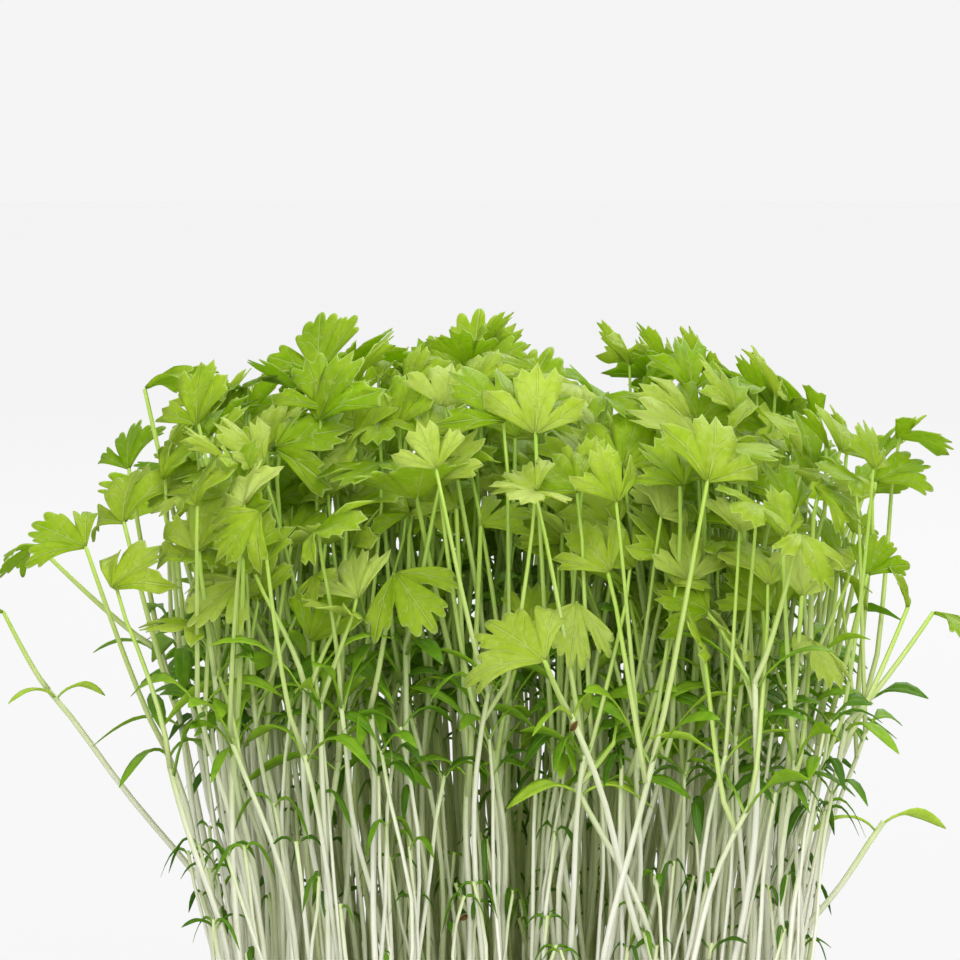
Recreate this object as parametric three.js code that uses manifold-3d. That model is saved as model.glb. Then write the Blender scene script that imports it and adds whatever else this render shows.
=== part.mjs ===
// A small square tray of celery microgreens: a plain moulded tray, a block of growing medium, and tufts of
// seedlings that stand in holes in the medium. A seedling is a pale stem that forks at its joint into two
// narrow seed leaves and one or two stalked true leaves, each a three-lobed, toothed blade.
// Millimetres, +Z up, front towards -Y, origin on the surface under the middle of the tray.
import * as THREE from "three";
import { mergeVertices } from "three/addons/utils/BufferGeometryUtils.js";
import Module from "manifold-3d";

const wasm = await Module();
wasm.setup();

// Driving dimensions
const TRAY_HEIGHT = 29;
const TRAY_FOOT = 36; // half the width across the foot
const TRAY_LEDGE = 39.8; // half the width under the ledge
const TRAY_MOUTH = 42; // half the width across the mouth
const TRAY_RIM = 45; // half the width across the rim
const WALL = 1.4;
const RIM_DROP = 3.2; // how far the rim's lip turns down
const RIM_WALL = 1.2;
const LEDGE_HEIGHT = 19; // where the wall steps out
const LEDGE = 0.9; // how far it steps out
const MEDIUM_TOP = 27;
const GAP = 0.3; // between pieces that touch
const ROWS = 7;
const COLUMNS = 8;
const COLUMN_STEP = 9.3;
const ROW_STEP = 10.6;
const STAGGER = 1.3;
const SEED = 20260;
const ROOT_RADIUS = 2.8;
const ROOT_DEPTH = 9;
const STEM_RADIUS = 0.62;
const STEM_LEAN = 1.35; // above 1, a stem leans more as it rises
const STALK_WIDTH = 0.72;
const STALK_LEAN = 0.85; // below 1, a stalk leans less as it rises
const STALK_STEPS = 2;
const STEM_STEPS = 3;
const SUNK = 3; // how far a stem starts inside its root
const PAIR_BELOW = 1.2; // how far below a stem's end its seed leaves sit
const SECOND_BELOW = 3.4; // how far below a stem's end the stalk of a second true leaf starts inside it
const CLEARING = 4; // how far above a stem's end other tufts keep clear
const BLADE = 0.6; // a blade's thickness

// The blade of a true leaf, half its outline from stalk to tip, for a blade one long: three lobes
const LEAF_EDGE = [
  [0, 0.06],
  [0.4, 0.63],
  [0.55, 0.29],
  [0.8, 0.34],
  [1, 0],
];
const LEAF_FOLD = 0.2; // how far the blade rises beside its rib
const LEAF_ARCH = 0.22; // how far the tip droops
// Half a pair of seed leaves, one long: the place along it and the width there
const SEED_LEAF = [
  [0, 0.07],
  [0.45, 0.24],
  [1, 0.05],
];
const SEED_LEAF_DROOP = 0.3;
const SQUARE = [[1, 1], [-1, 1], [-1, -1], [1, -1]];

// The ways to bend a leaf clear of the other tufts, tried in turn
const STALK_TURNS = [0, 30, -30, 60, -60, 100, -100, 150];
const BLADE_TURNS = [0, 22, -22, 45, -45, 70, -70];
const BLADE_LIFTS = [0, 15, -15];
const PAIR_TURNS = [0, 18, -18, 36, -36, 54, -54, 72, -72, 90];
const PAIR_LIFTS = [0, 0.25, -0.25, 0.5];
const STEM_BOWS = [0, 1.6, -1.6, 3, -3];

// The seedlings that show best, by their place in the grid: where a stem forks, and each true leaf as the end
// of its stalk, the compass heading of its rib (0 is +X, 90 is away from the front), its rise and its length.
// A pair is the heading, kink, rise and length of the seed leaves, where they show.
const PLACED = {
  "0 0": [{ joint: [-34, -34, 74], leaves: [[-32.5, -36, 95, -150, -25, 9]] }],
  "0 1": [{ joint: [-21, -31, 72], leaves: [[-20, -29, 103, 30, 35, 10.5]] }],
  "0 2": [{ joint: [-17, -34, 79], leaves: [[-14, -36, 96, -50, -35, 10]] }],
  "0 3": [{ joint: [-5, -30, 71], leaves: [[-6.5, -29, 103, 150, 35, 7], [-3.5, -30, 101, 20, 25, 7.5]] }],
  "0 4": [{ joint: [8, -31, 72], leaves: [[13.5, -26, 99, 170, 15, 10.5], [8, -40, 93, -95, -50, 9]] }],
  "0 5": [{ joint: [14, -36, 70], leaves: [[20, -38, 90, 60, 30, 8]] }],
  "0 6": [
    { joint: [7, -49, 81], leaves: [[4, -55, 88, 140, 30, 11.5]] },
    { joint: [8, -40, 70.5], leaves: [[12.5, -41, 76, 75, 60, 8]], pair: [178, 0.2, 0.1, 9] },
  ],
  "0 7": [{ joint: [34, -34, 71], leaves: [[35.5, -35, 93, 95, 68, 9]] }],
  "1 0": [{ joint: [-43, -22, 72], leaves: [[-53, -19, 97, 150, 20, 9.5]] }],
  "1 1": [{ joint: [-27, -20, 74], leaves: [[-26, -18, 101, 112, 55, 11.5]] }],
  "1 2": [{ joint: [-14.5, -17, 76], leaves: [[-13, -16, 110, 90, 76, 10], [-10, -20, 105, 40, 50, 8]] }],
  "1 4": [{ joint: [8, -21, 72], leaves: [[12, -20, 101, 98, 62, 9.5]] }],
  "1 5": [{ joint: [18, -22, 74], leaves: [[18.5, -22, 103.5, 70, 40, 10]] }],
  "1 6": [
    { joint: [27, -23, 73], leaves: [[29, -24, 100, 150, 12, 11]] },
    { joint: [47.5, -18, 62], leaves: [], pair: [12, 0.2, 0.3, 9.5] },
  ],
  "1 7": [
    { joint: [42, -26, 76], leaves: [[54, -13, 88, -20, -18, 10], [50, -20, 89.5, 115, 66, 6.5]] },
    { joint: [39, -19, 72], leaves: [[41.5, -18, 95, 110, 60, 7], [45, -19, 93.5, 50, 50, 7]] },
  ],
  "2 0": [{ joint: [-42, -11, 74], leaves: [[-49, -10, 99, 95, 42, 12]] }],
  "2 1": [{ joint: [-30, -10, 76], leaves: [[-33.5, -8, 106, 188, -4, 10]] }],
  "2 3": [{ joint: [-6, -11, 76], leaves: [[-8, -11, 99, 110, 45, 9.5]] }],
  "2 4": [{ joint: [4, -11, 72], leaves: [[5.5, -13, 101, 96, 60, 11]] }],
  "2 5": [{ joint: [15, -13, 78], leaves: [[15.5, -12, 107.5, 55, 52, 10.5]] }],
  "2 6": [{ joint: [27, -11, 78], leaves: [[25, -8, 107.5, 80, 52, 8], [31, -13, 97, 20, 20, 9]] }],
  "2 7": [{ joint: [40, -9, 74], leaves: [[47, -8, 104, 30, 30, 9], [44, -12, 98, 70, 40, 5.5]] }],
  "3 0": [
    { joint: [-39, 3, 82], leaves: [[-47.5, 5, 115, 12, 22, 10.5]] },
    { joint: [-60, 0, 76], leaves: [[-66, 2, 86, 185, 0, 5.5]], pair: [30, 0.2, 0.3, 7] },
  ],
  "3 2": [{ joint: [-19, 1, 78], leaves: [[-23, 2, 107.5, 98, 72, 10.5]] }],
  "3 3": [{ joint: [-3, 1, 80], leaves: [[1, 2, 111.5, 55, 48, 13]] }],
  "3 5": [{ joint: [13, 4, 80], leaves: [[18, 6, 115, 65, 58, 10.5]] }],
  "3 6": [{ joint: [29, 0, 76], leaves: [[35, -4, 101.5, 158, 32, 10.5], [27, 6, 109, 130, 40, 8]] }],
  "3 7": [{ joint: [34, 1, 76], leaves: [[39.5, 0, 105, 96, 64, 9.5], [46, 4, 101, 10, 45, 9]] }],
  "4 0": [{ joint: [-46, 8, 80], leaves: [[-62, 8, 94, 182, -30, 7.5], [-50, 9, 104, 100, 50, 9]] }],
  "4 2": [{ joint: [-20, 14, 84], leaves: [[-24.5, 12, 116.5, 125, 50, 11], [-14, 12, 110, 60, 40, 9]] }],
  "4 3": [{ joint: [-6, 12, 86], leaves: [[-4.5, 14, 116, 82, 74, 10.5]] }],
};

// A repeatable run of numbers from 0 to 1
function draws(seed) {
  let state = seed;
  const draw = () => {
    state = (state * 16807) % 2147483647;
    return state / 2147483647;
  };
  for (let i = 0; i < 4; i++) draw();
  return draw;
}

const radians = (degrees) => (degrees * Math.PI) / 180;
const vector = (x, y, z) => new THREE.Vector3(x, y, z);

// A closed three.js geometry as a solid
function solid(geometry) {
  const plain = new THREE.BufferGeometry();
  plain.setAttribute("position", geometry.getAttribute("position"));
  plain.setIndex(geometry.index);
  const merged = mergeVertices(plain, 1e-4);
  const vertProperties = new Float32Array(merged.attributes.position.array);
  const triVerts = new Uint32Array(merged.index.array);
  return new wasm.Manifold(new wasm.Mesh({ numProp: 3, vertProperties, triVerts }));
}

// A closed skin from its points and the triangles between them
function closed(points, index) {
  const geometry = new THREE.BufferGeometry();
  geometry.setAttribute("position", new THREE.Float32BufferAttribute(points.flatMap((p) => p.toArray()), 3));
  geometry.setIndex(index);
  return solid(geometry);
}

const tray = new THREE.Group();

// A solid as a named mesh of the tray
function add(name, body, material) {
  const { numProp, numVert, vertProperties, triVerts } = body.getMesh();
  const positions = new Float32Array(numVert * 3);
  for (let i = 0; i < numVert; i++) {
    positions.set(vertProperties.subarray(i * numProp, i * numProp + 3), i * 3);
  }
  const geometry = new THREE.BufferGeometry();
  geometry.setAttribute("position", new THREE.BufferAttribute(positions, 3));
  geometry.setIndex(new THREE.BufferAttribute(triVerts, 1));
  geometry.computeVertexNormals();
  const mesh = new THREE.Mesh(geometry, material);
  mesh.name = name;
  tray.add(mesh);
}

// A closed body through rounded squares, each given as its height, half width and corner radius
function roundedBlock(levels) {
  const arc = 3;
  const ring = ([z, half, radius]) => {
    const points = [];
    for (let corner = 0; corner < 4; corner++) {
      const turn = (corner * Math.PI) / 2;
      const centre = vector(half - radius, half - radius, z).applyAxisAngle(vector(0, 0, 1), turn);
      for (let i = 0; i <= arc; i++) {
        const angle = turn + (i / arc) * (Math.PI / 2);
        points.push(vector(centre.x + radius * Math.cos(angle), centre.y + radius * Math.sin(angle), z));
      }
    }
    return points;
  };
  return loft(levels.map(ring));
}

// A closed body through rings of points, each ring counter-clockwise about the way that the rings go
function loft(rings) {
  const count = rings[0].length;
  const index = [];
  for (let r = 0; r + 1 < rings.length; r++) {
    for (let i = 0; i < count; i++) {
      const a = r * count + i;
      const b = r * count + ((i + 1) % count);
      index.push(a, b, b + count, a, b + count, a + count);
    }
  }
  const last = (rings.length - 1) * count;
  for (let i = 1; i + 1 < count; i++) {
    index.push(0, i + 1, i);
    index.push(last, last + i, last + i + 1);
  }
  return closed(rings.flat(), index);
}

// A tube of an even radius along a curve through points
function tube(points, radius, sides, steps) {
  const section = new THREE.Shape();
  for (let i = 0; i < sides; i++) {
    const angle = (i / sides) * 2 * Math.PI;
    const corner = [radius * Math.cos(angle), radius * Math.sin(angle)];
    if (i) section.lineTo(...corner);
    else section.moveTo(...corner);
  }
  const extrudePath = new THREE.CatmullRomCurve3(points);
  return solid(new THREE.ExtrudeGeometry(section, { steps, bevelEnabled: false, extrudePath }));
}

// The blade of a true leaf on the end of a square shoot, as one closed skin. The shoot is a list of stations,
// each a centre, a way along and half a width: a stalk's, or a stem's and then its stalk's.
// The blade is two fans of faces that fold along its rib, and its root is the shoot's last ring.
function trueLeaf({ shoot, end, heading, rise, length }, spare) {
  const edge = [...LEAF_EDGE, ...LEAF_EDGE.map(([x, y]) => [x, -y]).reverse().slice(1)];
  const count = edge.length;
  const tip = LEAF_EDGE.length - 1;
  const frame = bladeFrame(end, heading, rise);
  const size = spare ? length * 1.05 : length;
  const layer = (lift) =>
    edge.map(([x, y]) => {
      const height = (LEAF_FOLD * Math.abs(y) - LEAF_ARCH * x * x) * size + lift;
      return vector(x * size, y * size, height).applyMatrix4(frame);
    });
  const points = [...layer(BLADE / 2 + spare), ...layer(-BLADE / 2 - spare)];
  const index = [];
  const face = (a, b, c) => index.push(a, c, b, count + a, count + b, count + c);
  for (let i = 1; i < tip; i++) face(0, i, i + 1);
  face(0, tip, count - 1);
  for (let i = tip; i + 2 < count; i++) face(count - 1, i, i + 1);
  for (let i = 0; i + 1 < count; i++) index.push(i, i + 1, count + i + 1, i, count + i + 1, count + i);
  const band = (first, second) =>
    first.forEach((a, i) => {
      const j = (i + 1) % first.length;
      index.push(a, first[j], second[j], a, second[j], second[i]);
    });
  const side = vector(0, 1, 0).transformDirection(frame);
  let before = null;
  for (const { centre, along, half } of shoot) {
    const across = side.clone().addScaledVector(along, -side.dot(along)).setLength(half + spare);
    const up = along.clone().cross(across);
    const ring = SQUARE.map(([m, n]) => {
      points.push(centre.clone().addScaledVector(across, m).addScaledVector(up, n));
      return points.length - 1;
    });
    if (before) band(before, ring);
    else index.push(ring[0], ring[2], ring[1], ring[0], ring[3], ring[2]);
    before = ring;
  }
  band(before, [0, count - 1, 2 * count - 1, count]);
  return closed(points, index);
}

// The stations of a true leaf's stalk from its base to just short of the blade
function stalkStations(leaf) {
  const at = (k) => stalkPoint(leaf, k / STALK_STEPS);
  return Array.from({ length: STALK_STEPS }, (_, k) => {
    const centre = at(k);
    return { centre, along: at(k + 0.5).sub(centre).normalize(), half: STALK_WIDTH / 2 };
  });
}

// The stations of a stem from inside the root to just short of its joint
function stemStations(plant) {
  const at = (k) => stemPoint(plant, k / STEM_STEPS);
  return Array.from({ length: STEM_STEPS }, (_, k) => {
    const centre = at(k);
    const along = at(k + 0.5).sub(centre).normalize();
    if (!k) centre.z -= SUNK;
    return { centre, along, half: STEM_RADIUS * Math.SQRT1_2 };
  });
}

// A pair of seed leaves: one long box that narrows to its middle and to its two tips, bent to a shallow V there
function seedLeaves({ middle, heading, kink, rise, length }, spare) {
  const halves = SEED_LEAF.length - 1;
  const geometry = new THREE.BoxGeometry(2, 1, 1, 2 * halves, 1, 1);
  const position = geometry.getAttribute("position");
  for (let i = 0; i < position.count; i++) {
    const side = Math.sign(position.getX(i));
    const [s, width] = SEED_LEAF[Math.round(Math.abs(position.getX(i)) * halves)];
    const across = position.getY(i) * (width * length + 2 * spare);
    const out = side * (s * length + spare);
    const up = length * (rise * s - SEED_LEAF_DROOP * s * s);
    const thick = position.getZ(i) * (BLADE + 2 * spare);
    position.setXYZ(i, out, across + Math.min(0, out) * kink, up + thick);
  }
  return solid(geometry.applyMatrix4(bladeFrame(middle, heading, 0)));
}

// The matrix that sets a blade's root at a point, with its rib along a heading and a rise in degrees
function bladeFrame(point, heading, rise) {
  const along = vector(
    Math.cos(radians(rise)) * Math.cos(radians(heading)),
    Math.cos(radians(rise)) * Math.sin(radians(heading)),
    Math.sin(radians(rise)),
  );
  const side = vector(-Math.sin(radians(heading)), Math.cos(radians(heading)), 0);
  return new THREE.Matrix4().makeBasis(along, side, along.clone().cross(side)).setPosition(point);
}

// A stem's centre line from its foot, upright at first and leaning more as it rises, with a slight bow
function stemPoint({ foot, joint, bow }, t) {
  const rise = vector(0, 0, joint.z - foot.z);
  const lean = vector(joint.x - foot.x, joint.y - foot.y, 0);
  const side = vector(-lean.y, lean.x, 0).normalize();
  return foot
    .clone()
    .addScaledVector(rise, t)
    .addScaledVector(lean, t ** STEM_LEAN)
    .addScaledVector(side, bow * Math.sin(Math.PI * t));
}

// The point on a stem at a distance below its end
const pointBelow = (plant, distance) => stemPoint(plant, 1 - distance / (plant.joint.z - plant.foot.z));

// A leaf stalk's centre line from its base to the blade, bowed out a little
function stalkPoint({ base, end }, t) {
  const reach = end.clone().sub(base);
  const out = t ** STALK_LEAN;
  return base.clone().add(vector(reach.x * out, reach.y * out, reach.z * t));
}

// The plan of a tuft: the feet, stems, seed leaves and true leaves of its seedlings. Those not placed by hand
// follow the dome that the canopy makes, and lean out from the middle.
function planTuft(row, column) {
  const draw = draws(SEED + 131 * (row * COLUMNS + column));
  const spread = (width) => (2 * draw() - 1) * width;
  const x = (column - (COLUMNS - 1) / 2) * COLUMN_STEP + (row % 2 ? STAGGER : -STAGGER) + spread(1);
  const y = (row - (ROWS - 1) / 2) * ROW_STEP + spread(1);
  const placed = PLACED[`${row} ${column}`] ?? [{}];
  const footOf = (i) => vector(x - 0.6 + 1.6 * i, y - 0.4 + i, MEDIUM_TOP);
  const plants = placed.map((given, i) => planTall(given, footOf(i), (row + column) % 2 ? 2 : 1, spread));
  if ((row + 2 * column) % 3 === 0) plants.push(planShort(vector(x + 0.5, y + 1.4, MEDIUM_TOP), spread));
  return { name: `tuft_r${row}_c${column}`, x, y, plants, parts: [] };
}

// A tall seedling, with seed leaves where it forks and true leaves above
function planTall(given, foot, leafCount, spread) {
  const edge = Math.hypot(foot.x, foot.y) / 48;
  const reach = 1.22 + spread(0.06);
  const [forkX, forkY] = [foot.x * reach + spread(1.5), foot.y * reach + spread(1.5)];
  const joint = vector(...(given.joint ?? [forkX, forkY, 81 - 9 * edge * edge + spread(4)]));
  const bow = spread(1.2);
  const pair = [spread(180), spread(0.3), 0.25 + spread(0.2), 10 + spread(1.8)];
  const [heading, kink, rise, length] = given.pair ?? pair;
  const out = (Math.atan2(joint.y, joint.x) * 180) / Math.PI;
  const grown = [0, 1].slice(0, leafCount).map((k) => {
    const way = out + 150 * k + spread(60);
    const away = 7 + spread(4);
    const up = (k ? 20 : 30) + spread(5) - 5 * edge;
    const end = vector(away * Math.cos(radians(way)), away * Math.sin(radians(way)), up).add(joint);
    return [...end, way + spread(50), 35 + spread(30), 10.5 + spread(2)];
  });
  const leaves = (given.leaves ?? grown).map(([endX, endY, endZ, toward, climb, long]) => {
    return { end: vector(endX, endY, endZ), heading: toward, rise: climb, length: long };
  });
  return { foot, joint, bow, pair: { heading, kink, rise, length }, leaves, thick: 1 };
}

// A short, thin seedling that bears only its seed leaves
function planShort(foot, spread) {
  const joint = vector(foot.x * 1.08 + spread(2), foot.y * 1.08 + spread(2), 50 + spread(9));
  const [heading, kink, rise, length] = [spread(180), spread(0.3), 0.45 + spread(0.2), 5.5 + spread(0.8)];
  return { foot, joint, bow: spread(1), pair: { heading, kink, rise, length }, leaves: [], thick: 0.75 };
}

const tufts = [];
for (let row = 0; row < ROWS; row++) {
  for (let column = 0; column < COLUMNS; column++) tufts.push(planTuft(row, column));
}

// Whether a solid is clear of every other tuft
function isClear(body, tuft) {
  const box = body.boundingBox();
  const meets = (other, k) => other.min[k] < box.max[k] && box.min[k] < other.max[k];
  const near = (part) => [0, 1, 2].every((k) => meets(part.box, k));
  const others = tufts.filter((other) => other !== tuft).flatMap((other) => other.parts);
  return !others.some((part) => near(part) && !body.intersect(part.claim).isEmpty());
}

// The first of several ways to make a piece that is clear of the other tufts joins its tuft. Each piece claims
// half the gap around it.
function grow(tuft, make, ways) {
  const way = ways.find((tried) => isClear(make(tried, GAP / 2), tuft));
  if (!way) return null;
  const claim = make(way, GAP / 2);
  const part = { body: make(way, 0), claim, box: claim.boundingBox() };
  tuft.parts.push(part);
  return { way, part };
}

// Every mix of one choice from each of several lists, with the later lists changing first
const mixes = (first, ...rest) =>
  first.flatMap((choice) => (rest.length ? mixes(...rest).map((others) => [choice, ...others]) : [[choice]]));

function growStem(tuft, plant) {
  const make = (way, spare) => {
    const line = [0, 1, 2, 3].map((i) => stemPoint(way, i / 3));
    line[0].z -= SUNK;
    if (spare) line[3] = pointBelow(way, -CLEARING);
    return tube(line, STEM_RADIUS * plant.thick + spare, 4, STEM_STEPS);
  };
  const grown = grow(tuft, make, STEM_BOWS.map((extra) => ({ ...plant, bow: plant.bow + extra })));
  if (grown) Object.assign(plant, { bow: grown.way.bow, part: grown.part });
  return grown;
}

function growLeaf(tuft, plant, leaf, second) {
  const base = pointBelow(plant, second ? SECOND_BELOW : 0);
  const ways = mixes(STALK_TURNS, BLADE_LIFTS, BLADE_TURNS).map(([turn, lift, twist]) => {
    const offset = leaf.end.clone().sub(plant.joint).applyAxisAngle(vector(0, 0, 1), radians(turn));
    const end = offset.add(plant.joint);
    const way = { ...leaf, base, end, heading: leaf.heading + turn + twist, rise: leaf.rise + lift };
    return { ...way, shoot: stalkStations(way) };
  });
  return grow(tuft, trueLeaf, ways);
}

function growPair(tuft, plant) {
  const middle = pointBelow(plant, PAIR_BELOW);
  const ways = mixes(PAIR_LIFTS, PAIR_TURNS).map(([lift, turn]) => {
    return { ...plant.pair, middle, heading: plant.pair.heading + turn, rise: plant.pair.rise + lift };
  });
  return grow(tuft, seedLeaves, ways);
}

// Stems grow first, then the true leaves, then the seed leaves in the room that is left. A stem and its first
// leaf become one skin.
const all = tufts.flatMap((tuft) => tuft.plants.map((plant) => [tuft, plant]));
const standing = all.filter(([tuft, plant]) => growStem(tuft, plant));
for (const [tuft, plant] of standing) {
  for (const leaf of plant.leaves) {
    const grown = growLeaf(tuft, plant, leaf, plant.joined);
    if (!grown || plant.joined) continue;
    grown.part.body = trueLeaf({ ...grown.way, shoot: [...stemStations(plant), ...grown.way.shoot] }, 0);
    plant.part.body = null;
    plant.joined = true;
  }
}
for (const [tuft, plant] of standing) growPair(tuft, plant);

// Materials
const seedlingGreen = new THREE.MeshStandardMaterial({ color: 0x9cc45a, roughness: 0.5, metalness: 0 });
const mediumBrown = new THREE.MeshStandardMaterial({ color: 0x5a4434, roughness: 0.95, metalness: 0 });
const trayBlack = new THREE.MeshStandardMaterial({ color: 0x26282a, roughness: 0.42, metalness: 0 });

// Levels moved in from the wall, and up from the floor, by a distance
const inset = (levels, by) => levels.map(([z, half, radius], i) => [i ? z : z + by, half - by, radius - by]);

// The tray: a tapered shell with a ledge in its wall and a rim that turns down
const outside = [
  [0, TRAY_FOOT, 7],
  [LEDGE_HEIGHT, TRAY_LEDGE, 8],
  [LEDGE_HEIGHT + LEDGE, TRAY_LEDGE + LEDGE, 8.6],
  [TRAY_HEIGHT, TRAY_MOUTH, 9],
];
const inside = inset(outside, WALL);
inside.at(-1)[0] += 1;
const rim = [
  [TRAY_HEIGHT - RIM_DROP, TRAY_RIM, 11.5],
  [TRAY_HEIGHT, TRAY_RIM, 11.5],
];
const underRim = rim.map(([z, half, radius]) => [z - RIM_WALL, half - RIM_WALL, radius - RIM_WALL]);
const lip = roundedBlock(rim).subtract(roundedBlock(underRim));
add("tray", lip.add(roundedBlock(outside)).subtract(roundedBlock(inside)), trayBlack);

// The short taper that the stems of a tuft grow from, or the hole in the medium that it stands in
function root({ x, y }, radius, depth, top) {
  const ring = (across, z) =>
    [0, 1, 2, 3].map((i) => {
      const angle = radians(90 * i + 45);
      return vector(x + 0.3 + across * Math.cos(angle), y + 0.4 + across * Math.sin(angle), z);
    });
  return loft([ring(radius * 0.6, top - depth), ring(radius, top)]);
}

// The growing medium: the tray's inside less a gap, level on top, with a hole for each tuft
const span = 2 * TRAY_RIM;
const belowTop = solid(new THREE.BoxGeometry(span, span, MEDIUM_TOP).translate(0, 0, MEDIUM_TOP / 2));
const holes = tufts.map((tuft) => root(tuft, ROOT_RADIUS + 2 * GAP, ROOT_DEPTH + 1 + GAP, MEDIUM_TOP + 1));
const medium = roundedBlock(inset(inside, GAP)).intersect(belowTop).subtract(wasm.Manifold.union(holes));
add("growing_medium", medium, mediumBrown);

for (const tuft of tufts) {
  const taper = root(tuft, ROOT_RADIUS, ROOT_DEPTH, MEDIUM_TOP);
  const bodies = tuft.parts.map((part) => part.body).filter(Boolean);
  add(tuft.name, wasm.Manifold.union([taper, ...bodies]), seedlingGreen);
}

export default tray;
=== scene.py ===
"""A tray of celery microgreens: the fine surfaces, finishes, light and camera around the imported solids.

Lengths in the plan are millimetres, as in the solids. MM turns them to metres as a mesh is made.
"""
import math
from collections import namedtuple

import bpy
import numpy as np
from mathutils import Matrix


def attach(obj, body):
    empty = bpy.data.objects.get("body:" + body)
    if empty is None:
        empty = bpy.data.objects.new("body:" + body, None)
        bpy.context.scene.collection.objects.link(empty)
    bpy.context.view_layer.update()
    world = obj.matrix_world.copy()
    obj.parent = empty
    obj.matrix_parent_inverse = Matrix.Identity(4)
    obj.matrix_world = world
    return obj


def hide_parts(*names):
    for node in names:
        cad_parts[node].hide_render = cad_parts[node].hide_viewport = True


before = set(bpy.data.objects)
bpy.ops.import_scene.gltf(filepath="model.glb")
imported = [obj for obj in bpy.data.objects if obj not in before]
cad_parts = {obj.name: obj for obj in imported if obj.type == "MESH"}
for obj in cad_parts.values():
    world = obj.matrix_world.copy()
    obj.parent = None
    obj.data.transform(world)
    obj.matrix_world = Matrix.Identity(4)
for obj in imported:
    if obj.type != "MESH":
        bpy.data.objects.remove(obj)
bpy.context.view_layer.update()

MM = 0.001

# Driving dimensions, as in the solids
TRAY_HEIGHT = 29
TRAY_FOOT = 36
TRAY_LEDGE = 39.8
TRAY_MOUTH = 42
TRAY_RIM = 45
WALL = 1.4
RIM_DROP = 3.2
LEDGE_HEIGHT = 19
LEDGE = 0.9
MEDIUM_TOP = 27
GAP = 0.3
ROWS = 7
COLUMNS = 8
COLUMN_STEP = 9.3
ROW_STEP = 10.6
STAGGER = 1.3
SEED = 20260
STAND_EDGE = 48  # how far the stand reaches from its middle
EDGE_DROP = 9  # how much lower the stems fork there
STEM_RADIUS = 0.62
STEM_LEAN = 1.35
STALK_LEAN = 0.85
PAIR_BELOW = 1.2
SECOND_BELOW = 3.4
BLADE = 0.6
LEAF_FOLD = 0.2
LEAF_ARCH = 0.22
SEED_LEAF_TIP = 0.05
SEED_LEAF_DROOP = 0.3

# The ways in which the solids may be bent clear of each other
STALK_TURNS = [0, 30, -30, 60, -60, 100, -100, 150]
BLADE_TURNS = [0, 22, -22, 45, -45, 70, -70]
BLADE_LIFTS = [0, 15, -15]
PAIR_TURNS = [0, 18, -18, 36, -36, 54, -54, 72, -72, 90]
PAIR_LIFTS = [0, 0.25, -0.25, 0.5]
STEM_BOWS = [0, 1.6, -1.6, 3, -3]
MATCH = 0.05  # how near a corner of the solid lies to where it is expected

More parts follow.
